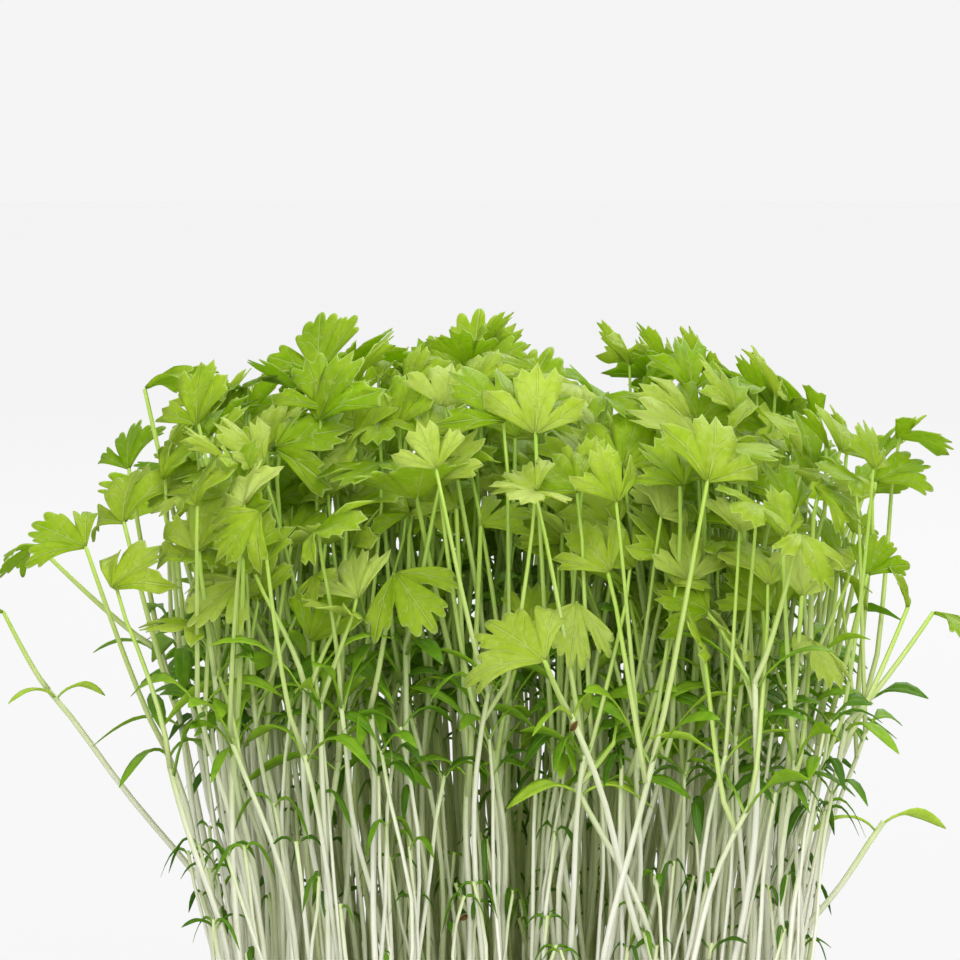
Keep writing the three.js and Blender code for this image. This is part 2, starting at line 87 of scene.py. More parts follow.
# The seedlings placed one by one, by row and column. Each is where its stem forks, then its true leaves, each
# as the end of its stalk, the heading of its rib, its rise and its length. Some give the seed leaves too:
# their heading, kink, rise and length.
PLACED = {
    (0, 0): [((-34, -34, 74), [(-32.5, -36, 95, -150, -25, 9)])],
    (0, 1): [((-21, -31, 72), [(-20, -29, 103, 30, 35, 10.5)])],
    (0, 2): [((-17, -34, 79), [(-14, -36, 96, -50, -35, 10)])],
    (0, 3): [((-5, -30, 71), [(-6.5, -29, 103, 150, 35, 7), (-3.5, -30, 101, 20, 25, 7.5)])],
    (0, 4): [((8, -31, 72), [(13.5, -26, 99, 170, 15, 10.5), (8, -40, 93, -95, -50, 9)])],
    (0, 5): [((14, -36, 70), [(20, -38, 90, 60, 30, 8)])],
    (0, 6): [
        ((7, -49, 81), [(4, -55, 88, 140, 30, 11.5)]),
        ((8, -40, 70.5), [(12.5, -41, 76, 75, 60, 8)], (178, 0.2, 0.1, 9)),
    ],
    (0, 7): [((34, -34, 71), [(35.5, -35, 93, 95, 68, 9)])],
    (1, 0): [((-43, -22, 72), [(-53, -19, 97, 150, 20, 9.5)])],
    (1, 1): [((-27, -20, 74), [(-26, -18, 101, 112, 55, 11.5)])],
    (1, 2): [((-14.5, -17, 76), [(-13, -16, 110, 90, 76, 10), (-10, -20, 105, 40, 50, 8)])],
    (1, 4): [((8, -21, 72), [(12, -20, 101, 98, 62, 9.5)])],
    (1, 5): [((18, -22, 74), [(18.5, -22, 103.5, 70, 40, 10)])],
    (1, 6): [
        ((27, -23, 73), [(29, -24, 100, 150, 12, 11)]),
        ((47.5, -18, 62), [], (12, 0.2, 0.3, 9.5)),
    ],
    (1, 7): [
        ((42, -26, 76), [(54, -13, 88, -20, -18, 10), (50, -20, 89.5, 115, 66, 6.5)]),
        ((39, -19, 72), [(41.5, -18, 95, 110, 60, 7), (45, -19, 93.5, 50, 50, 7)]),
    ],
    (2, 0): [((-42, -11, 74), [(-49, -10, 99, 95, 42, 12)])],
    (2, 1): [((-30, -10, 76), [(-33.5, -8, 106, 188, -4, 10)])],
    (2, 3): [((-6, -11, 76), [(-8, -11, 99, 110, 45, 9.5)])],
    (2, 4): [((4, -11, 72), [(5.5, -13, 101, 96, 60, 11)])],
    (2, 5): [((15, -13, 78), [(15.5, -12, 107.5, 55, 52, 10.5)])],
    (2, 6): [((27, -11, 78), [(25, -8, 107.5, 80, 52, 8), (31, -13, 97, 20, 20, 9)])],
    (2, 7): [((40, -9, 74), [(47, -8, 104, 30, 30, 9), (44, -12, 98, 70, 40, 5.5)])],
    (3, 0): [
        ((-39, 3, 82), [(-47.5, 5, 115, 12, 22, 10.5)]),
        ((-60, 0, 76), [(-66, 2, 86, 185, 0, 5.5)], (30, 0.2, 0.3, 7)),
    ],
    (3, 2): [((-19, 1, 78), [(-23, 2, 107.5, 98, 72, 10.5)])],
    (3, 3): [((-3, 1, 80), [(1, 2, 111.5, 55, 48, 13)])],
    (3, 5): [((13, 4, 80), [(18, 6, 115, 65, 58, 10.5)])],
    (3, 6): [((29, 0, 76), [(35, -4, 101.5, 158, 32, 10.5), (27, 6, 109, 130, 40, 8)])],
    (3, 7): [((34, 1, 76), [(39.5, 0, 105, 96, 64, 9.5), (46, 4, 101, 10, 45, 9)])],
    (4, 0): [((-46, 8, 80), [(-62, 8, 94, 182, -30, 7.5), (-50, 9, 104, 100, 50, 9)])],
    (4, 2): [((-20, 14, 84), [(-24.5, 12, 116.5, 125, 50, 11), (-14, 12, 110, 60, 40, 9)])],
    (4, 3): [((-6, 12, 86), [(-4.5, 14, 116, 82, 74, 10.5)])],
}

# What only the fine model has
STEP_X = 2.95  # between the feet of the seedlings that fill the stand
STEP_Y = 3.3
FILL_SEED = 7
STEM_LOOK = 0.43  # a round stem's radius at its foot
STAND = 33  # half the width that they fill
EDGE_COUNT = 170  # short seedlings along the sides
SHORT_SHARE = 0.42
CROWN = 119.5  # the height of the highest stalk ends
CROWN_DROP = 20  # how much lower they are at the edge of the stand
LOWEST_LEAF = 87  # the height of the lowest
FORK = 84  # the height of the forks in the middle of the stand
LEAST_STALK = 13  # from a fork up to its highest leaf
STREWN = 38  # half the width that crumbs and fibres lie over
CROWD = 1.3  # the least distance between two feet
STRIP = 13  # the depth of the strips that the filling seedlings are grouped in
CRUMBS = 700
FIBRES = 260
HAIRS = 10  # round each stem
TRAY_POINTS = 480  # round each ring of the tray
MEDIUM_POINTS = 220


# The plan of the stand

Plant = namedtuple("Plant", "foot joint bow pair leaves thick lime", defaults=[False])


def draws(seed):
    """A repeatable run of numbers from 0 to 1, the same as in the solids."""
    state = seed
    for _ in range(4):
        state = state * 16807 % 2147483647
    while True:
        state = state * 16807 % 2147483647
        yield state / 2147483647


def plan_tuft(row, column):
    """The seedlings of one tuft, drawn in the same order as in the solids."""
    run = draws(SEED + 131 * (row * COLUMNS + column))

    def spread(width):
        return (2 * next(run) - 1) * width

    x = (column - (COLUMNS - 1) / 2) * COLUMN_STEP + (STAGGER if row % 2 else -STAGGER) + spread(1)
    y = (row - (ROWS - 1) / 2) * ROW_STEP + spread(1)
    leaf_count = 2 if (row + column) % 2 else 1
    plants = [
        plan_tall(given, (x - 0.6 + 1.6 * i, y - 0.4 + i), leaf_count, spread)
        for i, given in enumerate(PLACED.get((row, column), [()]))
    ]
    if (row + 2 * column) % 3 == 0:
        plants.append(plan_short((x + 0.5, y + 1.4), spread))
    return plants


def rooted(foot):
    """A stem's foot, on the top of the medium."""
    return np.array([*foot, MEDIUM_TOP])


def plan_tall(given, foot, leaf_count, spread):
    """A tall seedling: seed leaves where it forks, and true leaves above."""
    edge = math.hypot(*foot) / STAND_EDGE
    reach = 1.22 + spread(0.06)
    fork_x = foot[0] * reach + spread(1.5)
    fork_y = foot[1] * reach + spread(1.5)
    joint = given[0] if given else (fork_x, fork_y, 81 - EDGE_DROP * edge * edge + spread(4))
    bow = spread(1.2)
    pair = (spread(180), spread(0.3), 0.25 + spread(0.2), 10 + spread(1.8))
    out = math.degrees(math.atan2(joint[1], joint[0]))
    grown = []
    for k in range(leaf_count):
        way = out + 150 * k + spread(60)
        away = 7 + spread(4)
        up = (20 if k else 30) + spread(5) - 5 * edge
        end = polar(way, away, up) + joint
        grown.append((*end, way + spread(50), 35 + spread(30), 10.5 + spread(2)))
    leaves = given[1] if given else grown
    lime = len(given) == 3
    return Plant(rooted(foot), np.array(joint, float), bow, given[2] if lime else pair, leaves, 1, lime)


def plan_short(foot, spread):
    """A short, thin seedling that bears only its seed leaves."""
    joint = np.array([foot[0] * 1.08 + spread(2), foot[1] * 1.08 + spread(2), 50 + spread(9)])
    pair = (spread(180), spread(0.3), 0.45 + spread(0.2), 5.5 + spread(0.8))
    return Plant(rooted(foot), joint, spread(1), pair, [], 0.75)


def polar(heading, away, up):
    """A step of a length along a compass heading in degrees, and up."""
    return np.array([away * math.cos(math.radians(heading)), away * math.sin(math.radians(heading)), up])


def stem_point(plant, bow, t):
    """A stem's centre line: upright at its foot and leaning more as it rises, with a bow to one side."""
    t = np.atleast_1d(t)[:, None]
    rise = plant.joint - plant.foot
    lean = np.array([rise[0], rise[1], 0])
    side = np.array([-lean[1], lean[0], 0]) / max(math.hypot(lean[0], lean[1]), 1e-9)
    upright = np.array([0, 0, rise[2]])
    return plant.foot + upright * t + lean * t**STEM_LEAN + side * bow * np.sin(math.pi * t)


def point_below(plant, bow, distance):
    """The point on a stem at a distance below its end."""
    return stem_point(plant, bow, 1 - distance / (plant.joint[2] - plant.foot[2]))[0]


def blade_axes(heading, rise):
    """A blade's own directions: along its rib, across it, and up from its face."""
    h, r = math.radians(heading), math.radians(rise)
    along = np.array([math.cos(r) * math.cos(h), math.cos(r) * math.sin(h), math.sin(r)])
    side = np.array([-math.sin(h), math.cos(h), 0])
    return np.array([along, side, np.cross(along, side)])


# Reading back how the solids were bent clear of each other

Leaf = namedtuple("Leaf", "base end heading rise length")
Pair = namedtuple("Pair", "middle heading kink rise length")  # the kink in degrees


def corners(node):
    """A node's corners, in millimetres."""
    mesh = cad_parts[node].data
    found = np.empty(len(mesh.vertices) * 3, np.float32)
    mesh.vertices.foreach_get("co", found)
    return found.reshape(-1, 3).astype(float) / MM


def nearest(found, points):
    """The distance from each point to the nearest corner."""
    return np.linalg.norm(points[:, None] - found[None], axis=2).min(1)


def matched(ways, tips, found):
    """The way of bending whose tip is a corner of the solid, or None."""
    miss = nearest(found, np.array(tips))
    return ways[miss.argmin()] if miss.min() < MATCH else None


def bow_of(plant, found):
    """The bow that a stem has: the one whose centre line keeps the stem's radius from the solid's corners."""
    radius = STEM_RADIUS * plant.thick

    def miss(extra):
        line = stem_point(plant, plant.bow + extra, np.array([1 / 3, 2 / 3]))
        return np.abs(nearest(found, line) - radius).sum()

    bows = [plant.bow + extra for extra in sorted(STEM_BOWS, key=miss)]
    return next((bow for bow in bows if pair_of(plant, bow, found)), bows[0])


def leaf_of(plant, bow, leaf, second, found):
    """A true leaf as the solid has it, or None."""
    *end, heading, rise, length = leaf
    base = point_below(plant, bow, SECOND_BELOW if second else 0)
    ways, tips = [], []
    for turn in STALK_TURNS:
        stalk_end = (np.array(end) - plant.joint) @ blade_axes(turn, 0) + plant.joint
        for lift in BLADE_LIFTS:
            for twist in BLADE_TURNS:
                axes = blade_axes(heading + turn + twist, rise + lift)
                tips.append(stalk_end + np.array([length, 0, -LEAF_ARCH * length + BLADE / 2]) @ axes)
                ways.append(Leaf(base, stalk_end, heading + turn + twist, rise + lift, length))
    return matched(ways, tips, found)


def pair_of(plant, bow, found):
    """The seed leaves as the solid has them, or None."""
    heading, kink, rise, length = plant.pair
    kink = math.degrees(math.atan(kink))
    middle = point_below(plant, bow, PAIR_BELOW)
    ways, tips = [], []
    for lift in PAIR_LIFTS:
        for turn in PAIR_TURNS:
            up = length * (rise + lift - SEED_LEAF_DROOP) + BLADE / 2
            corner = np.array([length, SEED_LEAF_TIP * length / 2, up])
            tips.append(middle + corner @ blade_axes(heading + turn, 0))
            ways.append(Pair(middle, heading + turn, kink, rise + lift, length))
    return matched(ways, tips, found)


# Surfaces. Each is a closed skin through rings of points, worked out as whole arrays.

Skin = namedtuple("Skin", "points faces uv tone ripe kind")
STEM, LEAF, SEED_LEAF = range(3)


def loft(rings):
    """Quads through rings of points, shaped (copies, rings, points, 3), closed at both ends by a strip of
    quads that joins point i to point count - 1 - i. The sign of the volume says if the faces need turning."""
    copies, n, m, _ = rings.shape
    index = np.arange(n * m).reshape(n, m)
    beside = np.roll(index, -1, axis=1)
    wall = np.stack([index[:-1], beside[:-1], beside[1:], index[1:]], -1).reshape(-1, 4)
    i = np.arange(m // 2 - 1)
    cap = np.stack([i, m - 1 - i, m - 2 - i, i + 1], -1)
    faces = np.concatenate([wall, cap, cap[:, ::-1] + (n - 1) * m])
    points = rings.reshape(copies, n * m, 3)
    a, b, c, d = np.moveaxis(points[0][faces] - points[0].mean(0), 1, 0)
    if (np.cross(a, b) * c + np.cross(a, c) * d).sum() < 0:
        faces = faces[:, ::-1]
    every = faces[None] + (np.arange(copies) * n * m)[:, None, None]
    return points.reshape(-1, 3), every.reshape(-1, 4)


def skin(rings, u, tone, ripe=0, kind=0, v=None):
    """A closed skin, or many alike, with u round each ring and v from ring to ring, evenly if not given."""
    rings = rings.reshape(-1, *rings.shape[-3:])
    shape = rings.shape[:3]
    v = np.linspace(0, 1, shape[1]) if v is None else v
    u, v, tone, ripe = (np.broadcast_to(values, shape).ravel() for values in (u, v[:, None], tone, ripe))
    return Skin(*loft(rings), np.stack([u, v], -1), tone, ripe, kind)


def unit(vectors):
    """The same directions, one long."""
    return vectors / np.linalg.norm(vectors, axis=1)[:, None]


def round_angles(count):
    """Angles evenly round a circle, from half a step past its start."""
    return (np.arange(count) + 0.5) / count * 2 * math.pi


def circles(across, up, sides):
    """Points round a circle of radius one for each pair of directions."""
    angle = round_angles(sides)[:, None]
    return np.cos(angle) * across[:, None] + np.sin(angle) * up[:, None]


def tube(line, radius, sides):
    """A round tube along a line of points. At each point the ring lies square to the line, and is turned by
    the one direction that is square to the line's whole chord, so that it never twists."""
    along = unit(np.gradient(line, axis=0))
    chord = line[-1] - line[0]
    leaning = math.hypot(chord[0], chord[1]) > 1e-6
    flat = np.array([-chord[1], chord[0], 0]) if leaning else np.array([1.0, 0, 0])
    across = unit(flat - along * (along @ flat)[:, None])
    return line[:, None] + circles(across, np.cross(along, across), sides) * radius[:, None, None]


def tube_skin(line, radius, tone, ripe, sides=6):
    """A tube with u up and down its girth, v along it, and ripeness along it, from white to green."""
    u = 1 - np.abs(np.linspace(-1, 1, sides, endpoint=False))
    return skin(tube(line, radius, sides), u, tone, ripe[:, None], STEM)


# Half of a true leaf one long, by rays from the end of its stalk: where each tooth points and how far it
# reaches. The first three teeth are the middle lobe's, the other three a side lobe's.
TOOTH_RAYS = np.radians([0, 12.5, 21.5, 36, 46.5, 56.5])
TOOTH_REACH = np.array([1, 0.94, 0.82, 0.77, 0.88, 0.76])
NOTCH_RAY = math.radians(28.5)
LOBE_RAY = math.radians(46.5)  # the middle of a side lobe
EDGE_RAY = math.radians(60)
LEAF_ROOT = 0.05  # where the blade starts, as a share of each ray
LEAF_LOOK = 0.94  # a blade's length as a share of the solid's
OUTWARD_ROLL = 42
YOUNG_BELOW = 80  # a true leaf whose stalk ends lower is a young one, narrow and without teeth


def both_sides(rays):
    """Rays of half a leaf, and their mirror images."""
    return np.concatenate([-rays[:0:-1], rays])


MANY_RAYS = both_sides(np.radians(np.linspace(0, 60, 41)))
FEW_RAYS = both_sides(np.radians([0, 6.5, 12.5, 17, 21.5, 25.5, 28.5, 32, 36, 41, 46.5, 51.5, 56.5, 60]))
MANY_SHARES = np.linspace(LEAF_ROOT, 1, 9)
FEW_SHARES = np.array([0.06, 0.55, 1])
FEW = {"vary": 0.1, "steps": 7}  # for the seed leaves between the tufts


def leaf_reach(ray, rng):
    """How far a blade one long reaches along each ray: each tooth is a rounded bump and the farthest counts,
    less a narrow cut between the lobes. Either half has its own teeth and cut."""
    halves = []
    for half in (-ray, ray):
        uneven = rng.uniform(-0.05, 0.05, (2, len(TOOTH_RAYS))) * (TOOTH_RAYS > 0)
        off = np.abs(half[:, None] - TOOTH_RAYS - uneven[0] * 0.5)
        bumps = TOOTH_REACH * (1 + uneven[1]) * (1 - rng.uniform(38, 72) * off**2.5)
        cut = rng.uniform(0.22, 0.55) * np.exp(-(((half - NOTCH_RAY) / 0.055) ** 2))
        halves.append(bumps.max(1) * (1 - cut))
    return np.where(ray < 0, *halves)


def two_faced(x, y, top, bottom, across, tone, paler):
    """Rings round a blade, over its top and back under it, with u from edge to edge and a paler underside."""
    over, under = (np.stack(np.broadcast_arrays(x, y, z), -1) for z in (top, bottom))
    u = np.concatenate([across, across[::-1]]) / 2 + 0.5
    return np.concatenate([over, under[:, ::-1]], 1), u, tone + np.repeat([0, paler], len(across))


def true_leaf(leaf, rng, tone, ray=MANY_RAYS, share=MANY_SHARES):
    """A three-lobed blade as a fan of rays from the end of its stalk. Its face rises beside the rib and
    droops to the tip as the solid's does, each side lobe is a shallow trough along its own vein, and the edge
    ripples."""
    share = share[:, None]
    reach = leaf_reach(ray, rng)
    turn = ray * rng.uniform(0.9, 1.2)
    x = share * reach * np.cos(turn)
    y = share * reach * np.sin(turn)
    off_lobe = (np.abs(ray) - LOBE_RAY) * (np.abs(ray) > NOTCH_RAY)
    fold = LEAF_FOLD + rng.uniform(-0.14, 0.1)
    arch = LEAF_ARCH + rng.uniform(-0.14, 0.12)
    ripple = np.sin(ray * rng.uniform(4, 9) + rng.uniform(0, 6)) * rng.uniform(0.02, 0.07)
    z = fold * np.hypot(y, 0.05) - arch * x**2 + share * off_lobe**2 + ripple * share**2
    z = z - rng.uniform(0, 0.3) * (np.abs(y) / 0.6) ** 3
    half = (0.2 - 0.13 * share) / leaf.length
    rings, u, tone = two_faced(x, y, z + half, z - half, ray / EDGE_RAY, tone, 0.16)
    places = leaf.end + rings * leaf.length * LEAF_LOOK @ rolled(leaf, rng)
    return skin(places, u, tone, 1, LEAF, share[:, 0])


def rolled(leaf, rng):
    """A blade's axes, rolled about its rib: a little at random, and at the side of the stand to face out."""
    axes = blade_axes(leaf.heading, leaf.rise)
    outwards = leaf.end[:2] @ axes[1][:2] / STAND
    roll = math.radians(rng.uniform(-14, 14) - OUTWARD_ROLL * np.clip(outwards, -1, 1))
    side = math.cos(roll) * axes[1] + math.sin(roll) * axes[2]
    return np.array([axes[0], side, np.cross(axes[0], side)])


SEED_STALK = 0.36  # the share of a seed leaf that is its stalk
SEED_ARCH = 0.16  # how far its middle rises over the chord, as a share of its length


def seed_leaf(root, heading, rise, length, width, droop, rng, tone, steps=10):
    """A narrow blade on a short stalk: a lens of ten points carried along a drooping curve, with a groove
    along its rib, edges that lift a little, and a blunt point. It rolls to one side as it goes out."""
    s = np.linspace(0, 1, steps)
    blade = np.clip((s - SEED_STALK) / (1 - SEED_STALK), 0, 1)
    half = width * (0.2 + 0.8 * np.sin(math.pi * blade**0.85) ** 0.8)
    half[-1] = width * 0.1
    sway = rng.uniform(-0.16, 0.16) * length * s**2
    z = length * (rise * s - droop * s**2 + SEED_ARCH * np.sin(math.pi * s**0.8))
    across = np.array([-1, -0.5, 0, 0.5, 1])
    lift = np.abs(across) * rng.uniform(0.1, 0.35)
    thick = 0.17 * (1.15 - np.abs(across) * 0.85)
    thin = np.clip(1.6 - 1.3 * s, 0.3, 1.2)[:, None]
    roll = rng.uniform(-0.9, 0.9) * np.clip(2 * s, 0, 1)
    y = sway[:, None] + (half * np.cos(roll))[:, None] * across
    cup = z[:, None] + half[:, None] * lift + (half * np.sin(roll))[:, None] * across
    groove = np.where(across == 0, 0.05, 0)
    top, bottom = cup + thick * thin - groove, cup - thick * thin
    rings, u, tone = two_faced((length * s)[:, None], y, top, bottom, across, tone, 0.15)
    ripe = np.clip(0.35 + 3 * s, 0, 1)[:, None]
    return skin(root + rings @ blade_axes(heading, 0), u, tone, ripe, SEED_LEAF)


def stem_skin(plant, bow, rng, tone, steps=15, sides=6, sway=0.9):
    """A stem: the solid's centre line with a slight wave that dies out at both ends, widest at its foot."""
    t = np.linspace(-0.03, 1, steps)
    line = stem_point(plant, bow, np.clip(t, 0, 1))
    line[0, 2] -= 1.5
    phase, waves = rng.uniform(0, 6, 2), rng.uniform(1.2, 3, 2)
    hold = (np.clip(t, 0, 1) * (1 - np.clip(t, 0, 1)) * 4)[:, None]
    line[:, :2] += sway * np.sin(t[:, None] * waves * math.pi + phase) * hold
    radius = STEM_LOOK * plant.thick * (1.06 - 0.2 * np.clip(t, 0, 1))
    ripe = 0.34 * np.clip((t - 0.68) / 0.32, 0, 1) ** 1.5
    return tube_skin(line, radius, tone, ripe, sides)


def stalk_skin(leaf, thick, tone):
    """A true leaf's stalk, from inside its stem to the blade's rib, slimmer as it rises."""
    t = np.linspace(0, 1, 8)[:, None]
    reach = leaf.end - leaf.base
    line = leaf.base + np.concatenate([reach[:2] * t**STALK_LEAN, reach[2] * t], 1)
    into = blade_axes(leaf.heading, leaf.rise)[0] * 0.09 * leaf.length
    line = np.concatenate([line, (leaf.end + into)[None]])
    radius = thick * (0.4 - 0.13 * np.linspace(0, 1, 9))
    radius[-1] *= 0.5
    ripe = 0.34 + 0.45 * np.linspace(0, 1, 9)
    return tube_skin(line, radius, tone, ripe)


def seed_leaves(pair, rng, tone, width, droop=SEED_LEAF_DROOP, vary=0.05, steps=10):
    """Two seed leaves on opposite sides of a stem but for a kink, and each with a droop of its own."""
    for heading in (pair.heading, pair.heading + 180 + pair.kink):
        bend = droop + rng.uniform(-vary, vary)
        yield seed_leaf(pair.middle, heading, pair.rise, pair.length, width, bend, rng, tone, steps)


def leaf_tone_and_painted_light(point, rng):
    """How light a leaf is: a random tone, plus painted light and shade, lighter towards the front where the
    light falls and darker behind, in the shade of the stand.
    """
    front = np.clip((10 - point[1]) / 60, 0, 1)
    return 0.35 + 0.3 * front + rng.uniform(-0.22, 0.22)


def stem_tone_and_painted_shade(foot, rng):
    """How green a stem is, as painted shade: palest at the edge of the stand, darker and greener within,
    where the stems shade each other, with a little random tone.
    """
    return 1.1 - (np.abs(foot[:2]).max() / STAND) ** 2 + rng.uniform(-0.15, 0.15)


def plant_skins(plant, bow, leaves, pair, rng):
    """All the skins of one seedling."""
    tone = stem_tone_and_painted_shade(plant.foot, rng)
    yield stem_skin(plant, bow, rng, tone)
    for leaf in leaves:
        yield stalk_skin(leaf, plant.thick, tone)
        lightness = leaf_tone_and_painted_light(leaf.end, rng)
        if leaf.end[2] < YOUNG_BELOW:
            yield seed_leaf(leaf.end, leaf.heading, 0.9, leaf.length * 0.6, 0.9, 0.4, rng, lightness)
        else:
            yield true_leaf(leaf, rng, lightness)
    if pair and plant.thick == 1:
        lightness = leaf_tone_and_painted_light(pair.middle, rng) * 0.8 + 0.45 * plant.lime
        yield from seed_leaves(pair, rng, lightness, (0.1 + 0.03 * plant.lime) * pair.length)
    elif pair:
        yield from seed_leaves(pair, rng, rng.uniform(-0.2, 0.3), 0.07 * pair.length)


def shown(name, data):
    """An object of the scene, at the origin."""
    made = bpy.data.objects.new(name, data)
    bpy.context.scene.collection.objects.link(made)
    return made


def make_piece(name, skins, finishes, slot, *nodes):
    """One mesh from several skins, in metres, riding on the tray and standing for the given nodes."""
    skins = list(skins)
    starts = np.cumsum([0] + [len(s.points) for s in skins[:-1]])
    points = np.concatenate([s.points for s in skins]) * MM
    faces = np.concatenate([s.faces + start for s, start in zip(skins, starts)])
    uv = np.concatenate([s.uv for s in skins])
    mesh = bpy.data.meshes.new(name)
    mesh.from_pydata(points.tolist(), [], faces.tolist())
    mesh.uv_layers.new(name="along").data.foreach_set("uv", uv[faces.ravel()].astype(np.float32).ravel())
    for label in ("tone", "ripe"):
        values = np.concatenate([getattr(s, label) for s in skins]).astype(np.float32)
        mesh.attributes.new(label, "FLOAT", "POINT").data.foreach_set("value", values)
    for finish in finishes:
        mesh.materials.append(finish)
    kinds = np.concatenate([np.full(len(s.faces), s.kind) for s in skins])
    mesh.polygons.foreach_set("material_index", kinds.astype(np.int32))
    mesh.polygons.foreach_set("use_smooth", np.ones(len(faces), bool))
    mesh.update()
    piece = shown(name, mesh)
    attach(piece, "root")
    if nodes:
        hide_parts(*nodes)


# Finishes


def maths(operation, order=1):
    """A way to work with a Value, as a Math node that takes it and any other, or the other first."""
    settings = {"operation": operation}
    return lambda *values: values[0].finish.node("ShaderNodeMath", settings, dict(enumerate(values[::order])))


class Value:
    """A number that a shader works out at each point. Sums and products of it add Math nodes."""

    def __init__(self, finish, socket):
        self.finish = finish
        self.socket = socket

    __add__ = __radd__ = maths("ADD")
    __sub__ = maths("SUBTRACT")
    __rsub__ = maths("SUBTRACT", -1)
    __mul__ = __rmul__ = maths("MULTIPLY")
    __truediv__ = maths("DIVIDE")
    __abs__ = maths("ABSOLUTE")
    sine = maths("SINE")
    over = maths("MAXIMUM")  # the larger of the two

    def step(self, low, high):
        """0 at low and 1 at high, smooth between."""
        settings = {"interpolation_type": "SMOOTHSTEP"}
        return self.finish.node("ShaderNodeMapRange", settings, {0: self, 1: low, 2: high})


class Finish:
    """A material under construction."""

    def __init__(self, name):
        self.material = bpy.data.materials.new(name)
        self.material.use_nodes = True
        self.tree = self.material.node_tree
        self.tree.nodes.clear()

    def node(self, kind, settings=None, sockets=None, output=0):
        """A node with its settings, then the values or links of its sockets. Gives one of its outputs."""
        made = self.tree.nodes.new(kind)
        for name, value in (settings or {}).items():
            setattr(made, name, value)
        for name, value in (sockets or {}).items():
            if isinstance(value, Value):
                self.tree.links.new(value.socket, made.inputs[name])
            elif value is not None:
                made.inputs[name].default_value = value
        return Value(self, made.outputs[output])

    def attribute(self, name):
        return self.node("ShaderNodeAttribute", {"attribute_name": name}, output="Fac")

    def along(self, axis=None):
        """The piece's own place, or its share round each ring (0) or from ring to ring (1)."""
        place = self.node("ShaderNodeUVMap", {"uv_map": "along"})
        return place if axis is None else self.node("ShaderNodeSeparateXYZ", None, {0: place}, output=axis)

    def noise(self, size, detail=2.0, rough=0.5, place=None):
        """Noise from 0 to 1 whose lumps are about a size across, in millimetres."""
        place = place or self.node("ShaderNodeTexCoord", output="Object")
        sockets = {"Vector": place, "Scale": 1 / (size * MM), "Detail": detail, "Roughness": rough}
        return self.node("ShaderNodeTexNoise", None, sockets)

    def ramp(self, value, *stops):
        """A colour for each value, through stops of a place and a colour of the screen."""
        made = self.node("ShaderNodeValToRGB", None, {0: value})
        elements = made.socket.node.color_ramp.elements
        for place, *_ in stops[1:-1]:
            elements.new(place)
        for element, (place, *shade) in zip(elements, stops):
            element.position = place
            element.color = (*colour(*shade), 1)
        return made

    def blend(self, share, first, second):
        """A mix of two colours."""
        colours = {i: c if isinstance(c, Value) else (*c, 1) for i, c in ((6, first), (7, second))}
        return self.node("ShaderNodeMix", {"data_type": "RGBA"}, {0: share, **colours}, output=2)

    def bump(self, height, distance, under=None):
        """A bump of so many millimetres, on another or on the bare surface."""
        sockets = {"Height": height, "Distance": distance * MM, "Strength": 1.0, "Normal": under}
        return self.node("ShaderNodeBump", None, sockets)

    def mixed(self, share, first, second):
        """A mix of two shaders."""
        return self.node("ShaderNodeMixShader", None, {0: share, 1: first, 2: second})

    def surface(self, colour, roughness, normal=None, specular=0.5, glows=(), lighter=0.5, through=0, **more):
        """The shader itself. A share of the light may be scattered through, in a colour between two glows."""
        more |= {"Base Color": colour, "Roughness": roughness, "Specular IOR Level": specular}
        shader = self.node("ShaderNodeBsdfPrincipled", None, {**more, "Normal": normal})
        if through:
            lit = [self.node("ShaderNodeBsdfTranslucent", None, {0: (*glow, 1)}) for glow in glows]
            shader = self.mixed(through, shader, self.mixed(lighter, *lit))
        out = self.tree.nodes.new("ShaderNodeOutputMaterial")
        self.tree.links.new(shader.socket, out.inputs[0])
        return self.material


def colour(red, green, blue):
    """A colour of the screen, 0 to 255, as the shader takes it."""
    share = np.array([red, green, blue]) / 255
    return tuple(np.where(share <= 0.04045, share / 12.92, ((share + 0.055) / 1.055) ** 2.4).tolist())


def stem_finish():
    """White at the foot, pale green under the fork, yellow-green up the stalks, with fine ribs along it."""
    f = Finish("stem")
    ripe = f.attribute("ripe") + (f.noise(6) - 0.5) * 0.16
    stops = [
        (0, 234, 234, 224),
        (0.12, 224, 228, 202),
        (0.4, 198, 212, 144),
        (0.7, 180, 210, 92),
        (1, 150, 194, 52),
    ]
    green = f.ramp(ripe, *stops)
    # painted shade: by their tone, stems deep in the stand blend towards these darker olive greens, for the
    # shade among them
    inner = f.ramp(ripe, (0, 172, 190, 98), (0.3, 150, 184, 66), (0.8, 124, 168, 34))
    shade = f.blend((f.attribute("tone") + f.noise(3) * 0.5 - 0.25) * 0.8, green, inner)
    ribs = (f.along(0) * 19).sine()
    drawn_out = f.node("ShaderNodeMapping", None, {"Vector": f.along(), "Scale": (0.003, 0.03, 1)})
    fine = f.noise(1, detail=3, place=drawn_out)
    normal = f.bump(ribs * 0.3 + fine, 0.04)
    glows = colour(232, 234, 200), colour(216, 226, 138)
    return f.surface(shade, 0.34 + fine * 0.2, normal, 0.5, glows, ripe, 0.36)


